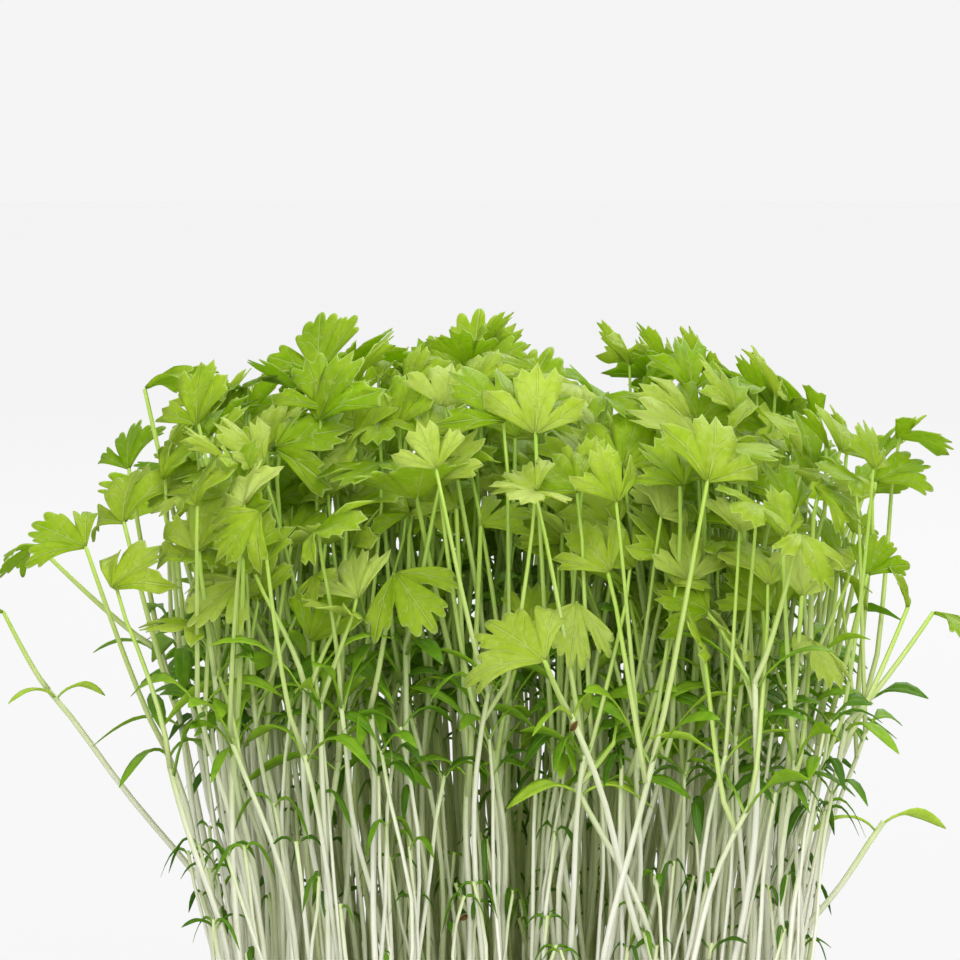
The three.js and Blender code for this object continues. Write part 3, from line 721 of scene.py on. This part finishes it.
def leaf_finish():
    """A true leaf: a rib to each lobe, a finer one to each tooth, a pale edge, and small lumps between."""
    f = Finish("true leaf")
    u, v = f.along(0), f.along(1)
    ray = abs(u - 0.5) * 2 * math.degrees(EDGE_RAY)
    side = math.degrees(LOBE_RAY)

    def rib(start, root, turn):
        """A rib that leaves the ray at root where v is start, and bends to the ray at turn."""
        way = ((v - start) / (0.8 - start)).over(0)
        off = abs(ray - (root + (turn - root) * way)) * v
        return (1 - off.step(0.35, 1.05)) * v.step(start - 0.01, start + 0.01)

    ribs = rib(0, 0, 0).over(rib(0, side, side))
    for start, root, turn in ((0.5, 0, 12.5), (0.28, 0, 21.5), (0.45, side, 36), (0.35, side, 56.5)):
        ribs = ribs.over(rib(start, root, turn) * 0.6)
    lumps = f.noise(0.9, detail=3)
    # the tone attribute holds painted light and shade: lighter on leaves towards the front, darker on those
    # behind, with random tone
    tone = f.attribute("tone") + (f.noise(4.5) - 0.5) * 0.5 + (lumps - 0.5) * 0.36
    stops = [
        (0, 100, 136, 4),
        (0.3, 137, 171, 11),
        (0.6, 167, 191, 50),
        (0.85, 187, 205, 106),
        (1, 200, 212, 136),
    ]
    blade = f.blend(ribs * 0.44, f.ramp(tone, *stops), colour(208, 222, 134))
    edge = v.step(0.955, 0.99)
    blade = f.blend(edge * 0.5, blade, colour(208, 226, 140))
    normal = f.bump(lumps - ribs * 0.8, 0.18)
    normal = f.bump(f.noise(0.16), 0.03, normal)
    glows = colour(162, 198, 8), colour(218, 226, 126)
    return f.surface(blade, 0.4 + lumps * 0.24, normal, 0.18, glows, tone.step(0.1, 1.1), 0.58)


def seed_leaf_finish():
    """A seed leaf: smoother and darker, paler along its rib and stalk and at its dry tip."""
    f = Finish("seed leaf")
    u, v = f.along(0), f.along(1)
    lumps = f.noise(1.1)
    # the tone attribute holds painted light and shade for most seed leaves: lighter towards the front, darker
    # behind, with random tone
    tone = f.attribute("tone") + (lumps - 0.5) * 0.4
    stops = [(0, 62, 100, 8), (0.35, 100, 144, 20), (0.65, 142, 180, 40), (1, 190, 214, 84)]
    blade = f.ramp(tone, *stops)
    stalk = f.blend(f.attribute("ripe").step(0.45, 0.95), colour(166, 196, 92), blade)
    rib = (1 - abs(u - 0.5).step(0.02, 0.075)) * (1 - v.step(0.55, 0.9))
    whole = f.blend(rib * 0.4, stalk, colour(160, 192, 98))
    whole = f.blend(v.step(0.975, 1) * 0.5, whole, colour(190, 196, 120))
    normal = f.bump(lumps - rib * 0.7, 0.09)
    glows = colour(120, 176, 6), colour(206, 226, 74)
    return f.surface(whole, 0.42 + lumps * 0.16, normal, 0.26, glows, tone.step(0, 1), 0.42)


def soil_finish():
    """Moist peat: dark brown, with lighter bits."""
    f = Finish("peat")
    bits = f.noise(0.8, detail=5, rough=0.7)
    patches = f.noise(7)
    stops = [(0.25, 34, 23, 15), (0.55, 66, 46, 31), (0.8, 104, 78, 54)]
    shade = f.ramp(bits * 0.75 + patches * 0.25 + (f.attribute("tone") - 0.5) * 0.3, *stops)
    return f.surface(shade, 0.95 - patches * 0.25, f.bump(bits, 0.6))


def fibre_finish():
    """Straw-brown threads of the peat."""
    f = Finish("fibre")
    stops = [(0, 92, 66, 40), (1, 164, 132, 88)]
    shade = f.ramp(f.attribute("tone") + (f.noise(2) - 0.5) * 0.5, *stops)
    return f.surface(shade, 0.8, f.bump(f.noise(0.2), 0.05))


def hull_finish():
    """A dry seed hull, dark brown with pale ribs along it."""
    f = Finish("seed hull")
    ribs = (f.along(0) * 16).sine() * 0.5 + 0.5
    grain = f.noise(0.3, detail=3)
    shade = f.ramp(ribs * 0.5 + grain * 0.6, (0.2, 44, 30, 12), (0.9, 120, 92, 44))
    return f.surface(shade, 0.7 + grain * 0.2, f.bump(ribs + grain * 0.5, 0.08), 0.15)


def hair_finish():
    """Root hairs: white down."""
    f = Finish("root hair")
    patches = f.noise(1.5)
    shade = f.ramp(patches, (0.3, 236, 234, 222), (0.7, 250, 250, 244))
    glows = colour(240, 240, 226), colour(252, 252, 244)
    return f.surface(shade, 0.7, None, 0.5, glows, patches, 0.4)


def tray_finish():
    """Black moulded plastic: a fine even grain, a few dull patches and lighter, rubbed places."""
    f = Finish("tray plastic")
    grain = f.noise(0.35, detail=3)
    patches = f.noise(16, detail=3)
    worn = (patches - 0.42).step(0.08, 0.3)
    shade = f.blend(worn * 0.4 + grain * 0.12, colour(30, 31, 33), colour(66, 67, 69))
    return f.surface(shade, 0.34 + patches * 0.16 + worn * 0.1, f.bump(grain, 0.05))


# The tray and its medium


def rounded_square(half, radius, count):
    """Points round a square with rounded corners, evenly by angle: each side is cut back where its ray meets
    the corner's circle. Starts half a step past +X so that point i lies over point count - 1 - i."""
    angle = round_angles(count)
    away = np.array([np.cos(angle), np.sin(angle)])
    folded = np.sort(np.abs(away), axis=0)
    flat = half / folded[1]
    core = half - radius
    along = core * folded.sum(0)
    rounded = along + np.sqrt(np.maximum(along**2 - 2 * core**2 + radius**2, 0))
    reach = np.where(flat * folded[0] > core, rounded, flat)
    return (away * reach).T


def levels(squares, count):
    """Rings of rounded squares, each given as its height, half its width and its corners' radius."""
    return np.array([np.insert(rounded_square(*square, count), 2, z, axis=1) for z, *square in squares])


RIB_COUNT = 40


def tray_piece(finish):
    """The tray, lofted through rounded squares from its inner floor up, over its rolled rim and down its
    outer wall, where the ribs are a raised cosine round it."""
    inner = [(WALL, 3, 1), (WALL, TRAY_FOOT - WALL - 1, 5), (WALL + 1, TRAY_FOOT - WALL, 5.6)]
    inner += [(LEDGE_HEIGHT, TRAY_LEDGE - WALL, 6.6), (LEDGE_HEIGHT + LEDGE, TRAY_LEDGE + LEDGE - WALL, 7.2)]
    inner += [(TRAY_HEIGHT - 1.2, TRAY_MOUTH - WALL, 7.6)]
    roll = np.linspace(0, math.pi, 9)
    middle = (TRAY_MOUTH - WALL + 0.4 + TRAY_RIM) / 2
    width = (TRAY_RIM - TRAY_MOUTH + WALL - 0.4) / 2
    top = TRAY_HEIGHT - 0.9
    over = [(top + 0.9 * math.sin(a), middle - width * math.cos(a), 8.6 - 2.4 * math.cos(a)) for a in roll]
    lip = TRAY_HEIGHT - RIM_DROP
    under = [(lip + 0.3, TRAY_RIM, 11.2), (lip, TRAY_RIM - 0.2, 11), (lip, TRAY_RIM - 0.9, 10.4)]
    under += [(lip + 0.3, TRAY_RIM - 1.2, 10.2), (TRAY_HEIGHT - 1.3, TRAY_RIM - 1.2, 10.2)]
    outer = [(TRAY_HEIGHT - 1.5, TRAY_MOUTH, 9), (LEDGE_HEIGHT + LEDGE, TRAY_LEDGE + LEDGE, 8.6)]
    outer += [(LEDGE_HEIGHT, TRAY_LEDGE, 8), (LEDGE_HEIGHT - 1.5, TRAY_LEDGE - 0.3, 8)]
    outer += [(1.5, TRAY_FOOT + 0.3, 7.1), (0.6, TRAY_FOOT, 7), (0, TRAY_FOOT - 0.7, 6.5), (0, 3, 1)]
    rings = levels(inner + over + under + outer, TRAY_POINTS)
    angle = np.linspace(0, 2 * math.pi, TRAY_POINTS, endpoint=False)
    rib = 0.4 * np.clip(4 * np.cos(angle * RIB_COUNT) - 2.2, -1, 1)
    ribbed = slice(len(rings) - 5, len(rings) - 3)
    rings[ribbed, :, :2] *= (1 + rib / TRAY_FOOT)[None, :, None]
    round_it = np.linspace(0, 1, TRAY_POINTS)
    make_piece("tray_shell", [skin(rings, round_it, 0.5, 0.5)], [finish], "tray", "tray")


def lumpy(x, y, size, rng, waves=26):
    """A smooth, uneven height from -1 to 1: cosines in random directions, with lumps about a size across."""
    angle, phase = rng.uniform(0, 2 * math.pi, (2, waves, 1, 1))
    pace = 2 * math.pi / (size * rng.uniform(1.2, 3.5, (waves, 1, 1)))
    return np.cos((x * np.cos(angle) + y * np.sin(angle)) * pace + phase).sum(0) / math.sqrt(waves)


def medium_piece(finish):
    """The medium: a block that follows the tray's inside, with an uneven top that sinks at the wall."""
    rng = np.random.default_rng(31)
    foot = WALL + GAP
    wall = [(foot, 3, 1), (foot, TRAY_FOOT - foot, 5.2), (LEDGE_HEIGHT, TRAY_LEDGE - foot, 6.4)]
    wall += [(LEDGE_HEIGHT + LEDGE, TRAY_LEDGE + LEDGE - foot, 7)]
    top = TRAY_MOUTH - foot - 0.6
    shares = np.concatenate([[1, 0.985], np.linspace(0.965, 0.02, 60)])
    cover = [(MEDIUM_TOP - 1.2, top * share, 7.4 * share) for share in shares]
    rings = levels(wall + cover, MEDIUM_POINTS)
    x, y, z = np.moveaxis(rings[len(wall) :], 2, 0)
    z += 0.9 * np.clip((1 - shares[:, None]) / 0.06, 0, 1) + 0.42 * lumpy(x, y, 2.2, rng)
    z += 0.35 * lumpy(x, y, 7, rng)
    round_it = np.linspace(0, 1, MEDIUM_POINTS)
    make_piece("peat_block", [skin(rings, round_it, 0.5, 0.5)], [finish], "medium", "growing_medium")


def spun(rng, copies):
    """Random turns, one for each copy, as matrices: the axes of two random directions made square."""
    a, b = rng.normal(size=(2, copies, 3))
    a = unit(a)
    c = unit(np.cross(a, b))
    return np.stack([a, np.cross(c, a), c], 1)


def scattered(name, rings, rng, u, finish, slot):
    """One piece that holds every copy of a small form, each with its own tone."""
    tone = rng.uniform(0, 1, (len(rings), 1, 1))
    make_piece(name, [skin(rings, u, tone)], [finish], slot)


def over_medium(rng, copies, half=STREWN):
    """Random places on the top of the medium."""
    places = rng.uniform(-half, half, (copies, 2))
    return np.column_stack([places, np.full(copies, MEDIUM_TOP - 0.2)])


def crumbs_piece(finish):
    """Crumbs of peat: balls of four rings of six points, each squashed, dented and turned in its own way."""
    rng = np.random.default_rng(32)
    polar_angle = np.radians([22, 65, 115, 158])[:, None]
    turn = round_angles(6)
    out, up = np.sin(polar_angle), np.cos(polar_angle)
    ball = np.stack(np.broadcast_arrays(out * np.cos(turn), out * np.sin(turn), up), -1)
    size = rng.uniform(0.3, 1.25, (CRUMBS, 1)) * rng.uniform(0.55, 1.2, (CRUMBS, 3))
    dents = rng.uniform(0.75, 1.2, (CRUMBS, 4, 6, 1))
    rings = np.einsum("crpi,cij->crpj", ball[None] * dents * size[:, None, None], spun(rng, CRUMBS))
    rings += over_medium(rng, CRUMBS)[:, None, None]
    scattered("peat_crumbs", rings, rng, turn / 6, finish, "medium")


def threads(rng, start, end, arch, radius, steps, sides=3):
    """Thin bent threads from start to end, arched by a step, as rings (copies, rings, points, 3)."""
    t = np.linspace(0, 1, steps)[None, :, None]
    line = start[:, None] + (end - start)[:, None] * t
    line = line + np.sin(math.pi * t) * arch[:, None]
    along = unit(end - start)
    across = unit(np.cross(along, rng.normal(size=along.shape)))
    taper = radius * (1 - 0.5 * t)[..., None]
    return line[:, :, None] + circles(across, np.cross(along, across), sides)[:, None] * taper


def fibres_piece(finish):
    """Fibres of the peat, lying over its top."""
    rng = np.random.default_rng(33)
    start = over_medium(rng, FIBRES, STREWN - 2)
    angle, away = rng.uniform(0, 2 * math.pi, FIBRES), rng.uniform(2, 9, FIBRES)
    end = start + polar_all(angle, away, rng.uniform(-0.3, 0.5, FIBRES))
    end[:, :2] = np.clip(end[:, :2], -STREWN, STREWN)
    arch = np.column_stack([rng.uniform(-1.5, 1.5, (FIBRES, 2)), rng.uniform(0.1, 1.3, FIBRES)])
    rings = threads(rng, start, end, arch, 0.1, 7, sides=4)
    scattered("peat_fibres", rings, rng, 0, finish, "medium")


def polar_all(angle, away, up):
    """Many steps of a length along a heading, and up."""
    return np.column_stack([away * np.cos(angle), away * np.sin(angle), up])


def root_hairs_piece(feet, finish):
    """White down round each stem foot, where it enters the peat."""
    rng = np.random.default_rng(34)
    start = np.repeat(np.column_stack([feet, np.full(len(feet), MEDIUM_TOP)]), HAIRS, axis=0)
    copies = len(start)
    angle = rng.uniform(0, 2 * math.pi, copies)
    start[:, 2] += rng.uniform(-0.4, 2.6, copies)
    start += polar_all(angle, np.full(copies, STEM_RADIUS * 0.75), np.zeros(copies))
    heading, away = angle + rng.uniform(-0.8, 0.8, copies), rng.uniform(0.6, 1.9, copies)
    end = start + polar_all(heading, away, rng.uniform(-0.9, 0.5, copies))
    rings = threads(rng, start, end, rng.uniform(-0.25, 0.25, (copies, 3)), 0.035, 3)
    scattered("root_hairs", rings, rng, 0, finish, "seedling")


# The seedlings


def tuft_piece(row, column, finishes):
    """One tuft of the solids, seen as fine seedlings. Gives the feet and the centre lines of its stems."""
    node = f"tuft_r{row}_c{column}"
    found = corners(node)
    rng = np.random.default_rng([row, column])
    skins, feet, lines = [], [], []
    for plant in plan_tuft(row, column):
        bow = bow_of(plant, found)
        leaves = []
        for leaf in plant.leaves:
            way = leaf_of(plant, bow, leaf, bool(leaves), found)
            leaves += [way] if way else []
        skins += plant_skins(plant, bow, leaves, pair_of(plant, bow, found), rng)
        feet.append(plant.foot[:2])
        lines.append(stem_point(plant, bow, np.linspace(0.1, 0.97, 40)))
    make_piece(f"seedlings_r{row}_c{column}", skins, finishes, "seedling", node)
    return feet, lines


def fill_feet(taken, rng):
    """Feet for the seedlings between the tufts: a grid with every foot moved at random, less those too near
    to a foot that is taken."""
    x, y = np.meshgrid(np.arange(-STAND, STAND + 1, STEP_X), np.arange(-STAND, STAND + 1, STEP_Y))
    feet = np.column_stack([x.ravel(), y.ravel()]) + rng.uniform(-1.5, 1.5, (x.size, 2))
    gap = np.linalg.norm(feet[:, None] - taken[None], axis=2).min(1)
    return feet[gap > CROWD]


def edge_feet(rng):
    """Feet of the shortest seedlings, along the four sides of the stand."""
    along, out = rng.uniform(-STAND, STAND, EDGE_COUNT), STAND + rng.uniform(-1, 2, EDGE_COUNT)
    side = rng.integers(0, 4, EDGE_COUNT)
    x = np.choose(side, [along, out, along, -out])
    return np.column_stack([x, np.choose(side, [-out, along, out, along])])


def facing(base, end, out, rng, length):
    """A true leaf that mostly faces out of the stand: leaning in with its tip up, or out with it down."""
    chance = rng.random()
    if chance < 0.56:
        return Leaf(base, end, out + 180 + rng.uniform(-80, 80), rng.uniform(25, 80), length)
    if chance < 0.7:
        return Leaf(base, end, out + rng.uniform(-60, 60), rng.uniform(-45, 5), length)
    return Leaf(base, end, rng.uniform(0, 360), rng.uniform(0, 60), length)


def fill_tall(foot, rng):
    """A tall seedling between the tufts: one true leaf, or only its seed leaves."""
    edge = math.hypot(*foot) / STAND_EDGE
    top = CROWN - CROWN_DROP * edge**2.2 - (24 - 9 * edge) * rng.random() ** 2.1
    level_joint = foot * rng.uniform(1.06, 1.34) + rng.uniform(-3, 3, 2)
    fork = min(FORK - EDGE_DROP * edge**2 + rng.uniform(-9, 7), top - LEAST_STALK)
    joint = np.array([*level_joint, fork])
    bow = rng.uniform(-4, 4)
    plant = Plant(rooted(foot), joint, bow, None, [], rng.uniform(0.75, 1.05))
    out = math.degrees(math.atan2(joint[1], joint[0]))
    way = out + rng.uniform(-90, 90)
    end = joint + polar(way, rng.uniform(2, 8), top - joint[2])
    leaves = [facing(joint, end, out, rng, rng.uniform(6.8, 10.4))]
    if rng.random() < 0.75:
        up = max(rng.uniform(0.4, 0.9) * (top - joint[2]), LOWEST_LEAF - joint[2])
        lower = joint + polar(way + 180 + rng.uniform(-60, 60), rng.uniform(3, 8), up)
        base = point_below(plant, bow, SECOND_BELOW)
        leaves.append(facing(base, lower, out, rng, rng.uniform(5.5, 9)))
    heading, kink = rng.uniform(0, 360), math.degrees(rng.uniform(-0.3, 0.3))
    middle = point_below(plant, bow, PAIR_BELOW)
    return plant, leaves, Pair(middle, heading, kink, rng.uniform(0.4, 1.2), rng.uniform(8.5, 12.5))


def fill_short(foot, rng):
    """A short seedling with two thread-like seed leaves, which may still curl."""
    joint = np.array([*(foot * 1.1 + rng.uniform(-2.5, 2.5, 2)), rng.uniform(47, 80)])
    bow = rng.uniform(-3, 3)
    plant = Plant(rooted(foot), joint, bow, None, [], rng.uniform(0.55, 0.75))
    heading, kink = rng.uniform(0, 360), math.degrees(rng.uniform(-0.5, 0.5))
    rise, length = rng.uniform(0.5, 1.1), rng.uniform(2.2, 3.8) + 5 * opened(joint)
    return plant, Pair(point_below(plant, bow, 0.6), heading, kink, rise, length)


def few_stalk(leaf, thick, tone, rng):
    """A stalk by the same formula, with few faces. It turns up early or late."""
    t = np.linspace(0, 1, 7)[:, None]
    reach = leaf.end - leaf.base
    line = leaf.base + np.concatenate([reach[:2] * t ** rng.uniform(0.45, 1.6), reach[2] * t], 1)
    line[-1] += blade_axes(leaf.heading, leaf.rise)[0] * 0.08 * leaf.length
    return tube_skin(line, thick * np.linspace(0.4, 0.24, 7), tone, np.linspace(0.34, 0.8, 7), sides=5)


def fill_pieces(taken, finishes):
    """The seedlings that fill the stand between the tufts, in one piece for each strip of the stand."""
    rng = np.random.default_rng(FILL_SEED)
    among, edge = fill_feet(taken, rng), edge_feet(rng)
    strips = {}
    mixed = [(foot, rng.random() < SHORT_SHARE) for foot in among]
    for foot, short in mixed + [(foot, True) for foot in edge]:
        skins = strips.setdefault(int((foot[1] + STAND + 3) // STRIP), [])
        skins += short_skins(foot, rng) if short else tall_skins(foot, rng)
    for strip, skins in strips.items():
        make_piece(f"seedlings_between_{strip}", skins, finishes, "seedling")
    return np.concatenate([among, edge])


def tall_skins(foot, rng):
    """All the skins of a tall seedling between the tufts."""
    tone = stem_tone_and_painted_shade(foot, rng)
    plant, leaves, pair = fill_tall(foot, rng)
    yield stem_skin(plant, plant.bow, rng, tone, steps=13, sides=5, sway=0.8)
    for leaf in leaves:
        yield few_stalk(leaf, plant.thick, tone, rng)
        yield true_leaf(leaf, rng, leaf_tone_and_painted_light(leaf.end, rng), FEW_RAYS, FEW_SHARES)
    lightness = leaf_tone_and_painted_light(pair.middle, rng) * 0.8
    width, droop = rng.uniform(0.8, 1.25), rng.uniform(0.15, 0.7)
    yield from seed_leaves(pair, rng, lightness, width, droop, **FEW)


def opened(joint):
    """How far a short seedling's seed leaves have opened: not at all low down, fully at a fork's height."""
    return float(np.clip((joint[2] - 58) / 22, 0, 1))


def short_skins(foot, rng):
    """All the skins of a short seedling."""
    plant, pair = fill_short(foot, rng)
    yield stem_skin(plant, plant.bow, rng, stem_tone_and_painted_shade(foot, rng), steps=9, sides=5, sway=0.6)
    open_by = opened(plant.joint)
    tone = rng.uniform(-0.2, 0.3) + 0.2 * open_by
    width, droop = rng.uniform(0.27, 0.42) * (1 + 1.7 * open_by), rng.uniform(0.9, 2.2) * (1 - 0.65 * open_by)
    yield from seed_leaves(pair, rng, tone, width, droop, **FEW)


# Where seed hulls hang, across and up
HULLS = [(-25, 46), (24, 47.6), (-4.5, 53), (17.8, 88), (40, 63), (-12, 40), (6, 44), (-40, 58), (30, 55)]
HULL_LENGTH = 1.5


def hulls_piece(lines, finish):
    """Seed hulls caught on the front of the stems: half-open pods of six rings, each hung on the stem that
    passes nearest to where it should be."""
    rng = np.random.default_rng(35)
    along = np.concatenate(lines)
    rings = []
    t = np.linspace(0.03, 0.97, 7)[:, None]
    angle = round_angles(10)
    girth = np.sin(math.pi * t**0.85) ** 0.6
    for x, z in HULLS:
        miss = np.hypot(along[:, 0] - x, along[:, 2] - z) + 0.25 * along[:, 1]
        hold = along[miss.argmin()] - [0, STEM_RADIUS + 0.25, 0]
        across, deep = 0.4 * girth * np.cos(angle), 0.34 * girth * np.sin(angle)
        pod = np.stack(np.broadcast_arrays(across, deep, HULL_LENGTH * (t - 0.5)), -1)
        pod[..., 0] += 0.35 * t**2
        tilt = blade_axes(rng.uniform(0, 360), rng.uniform(-60, 60))
        rings.append(hold + pod @ tilt)
    scattered("seed_hulls", np.array(rings), rng, angle / 6, finish, "seedling")


# Floor, light and camera

CAMERA_RISE = 6
CAMERA_AWAY = 0.52
CAMERA_LENS = 150
AIM = np.array([-3.6, 0, 103.6]) * MM
FLOOR_RADIUS = 4
FLOOR_SHADE = (0.035, 0.035, 0.035, 1)
FLOOR_GLOW = (0.865, 0.865, 0.865, 1)
BACKDROP = (245, 245, 245)
# Each lamp's name, place and size in metres, and its power
LAMPS = [
    ("key", (0.3, -0.8, 0.95), 0.7, 12),
    ("back", (0.25, 0.8, 0.75), 0.8, 12),
    ("fill", (-0.1, -0.9, 0.14), 0.9, 6.5),
]


def studio():
    """A plain pale floor and soft light from all round, with more from above, in front and behind."""
    rim = np.linspace(0, 2 * math.pi, 128, endpoint=False)
    disc = bpy.data.meshes.new("floor")
    edge = polar_all(rim, FLOOR_RADIUS, 0 * rim)
    disc.from_pydata(edge.tolist(), [], [list(range(len(rim)))])
    floor = shown("floor", disc)
    pale = Finish("floor")
    glow = {"Emission Color": FLOOR_GLOW, "Emission Strength": 1.0}
    disc.materials.append(pale.surface(FLOOR_SHADE, 1.0, specular=0, **glow))
    world = bpy.data.worlds.new("studio")
    bpy.context.scene.world = world
    world.use_nodes = True
    backdrop = world.node_tree.nodes["Background"]
    backdrop.inputs["Color"].default_value = (*colour(*BACKDROP), 1)
    backdrop.inputs["Strength"].default_value = 1.0
    for lamp in LAMPS:
        soft_light(*lamp)
    bpy.context.scene.view_settings.view_transform = "Standard"


def soft_light(name, place, size, power):
    """A square lamp that faces the stand."""
    lamp = bpy.data.lights.new(name, "AREA")
    lamp.size = size
    lamp.energy = power
    holder = shown(name, lamp)
    holder.location = place
    towards = AIM - np.array(place)
    level_away = math.hypot(towards[0], towards[1])
    holder.rotation_euler = (math.atan2(level_away, -towards[2]), 0, math.atan2(-towards[0], towards[1]))


def camera():
    """The camera of the photograph: in front, a little above the stand's middle."""
    lens = bpy.data.cameras.new("camera")
    lens.lens = CAMERA_LENS
    lens.sensor_width = 36
    holder = shown("camera", lens)
    rise = math.radians(CAMERA_RISE)
    holder.location = AIM + CAMERA_AWAY * np.array([0, -math.cos(rise), math.sin(rise)])
    holder.rotation_euler = (math.pi / 2 - rise, 0, 0)
    bpy.context.scene.camera = holder


camera()
studio()
green = [stem_finish(), leaf_finish(), seed_leaf_finish()]
peat = soil_finish()
tufts = [tuft_piece(row, column, green) for row in range(ROWS) for column in range(COLUMNS)]
feet = np.array([foot for tuft_feet, _ in tufts for foot in tuft_feet])
fill = fill_pieces(feet, green)
tray_piece(tray_finish())
medium_piece(peat)
crumbs_piece(peat)
fibres_piece(fibre_finish())
root_hairs_piece(np.concatenate([feet, fill]), hair_finish())
hulls_piece([line for _, lines in tufts for line in lines], hull_finish())
